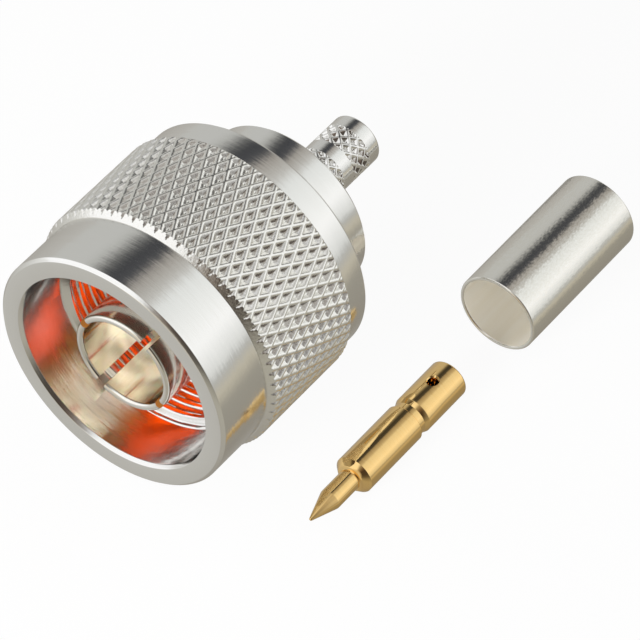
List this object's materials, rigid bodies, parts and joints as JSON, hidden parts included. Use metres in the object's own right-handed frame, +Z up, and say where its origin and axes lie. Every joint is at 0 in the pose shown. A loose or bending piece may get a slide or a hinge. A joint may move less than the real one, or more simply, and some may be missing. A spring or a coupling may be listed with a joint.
{
  "type": "n type coaxial cable connector",
  "caption": "Crimp-type N coaxial cable plug with a diamond-knurled coupling nut, shown with its loose gold centre contact and crimp ferrule.",
  "frame": {"origin": "centre of the coupling nut's mouth, on the connector's axis", "axes": "+Y along the connector's axis towards the cable, +Z up with the plug lying on its knurl, +X towards the loose pieces"},
  "size_m": [0.0278, 0.0384, 0.0204],
  "materials": {
    "plated_brass": "bright plated turned brass, satin from the turning marks",
    "silver_plate": "bright silver plate on bronze",
    "silicone": "matt moulded orange-red silicone",
    "ptfe": "turned white fluoropolymer",
    "spring_bronze": "bare phosphor bronze strip",
    "gold_plate": "polished gold plate",
    "tin_plated_copper": "plated drawn copper tube, satin"
  },
  "bodies": {
    "plug": {"connector_body": "plated_brass", "outer_contact": "silver_plate", "face_gasket": "silicone", "front_insulator": "ptfe", "retaining_ring": "spring_bronze", "centre_contact": "gold_plate", "crimp_ferrule": "tin_plated_copper"},
    "nut": {"coupling_nut": "plated_brass"}
  },
  "joints": [
    {"name": "nut_spin", "type": "hinge", "parent": "plug", "child": "nut", "pos_m": [0, 0, 0], "axis": [0, 1, 0], "continuous": true}
  ]
}
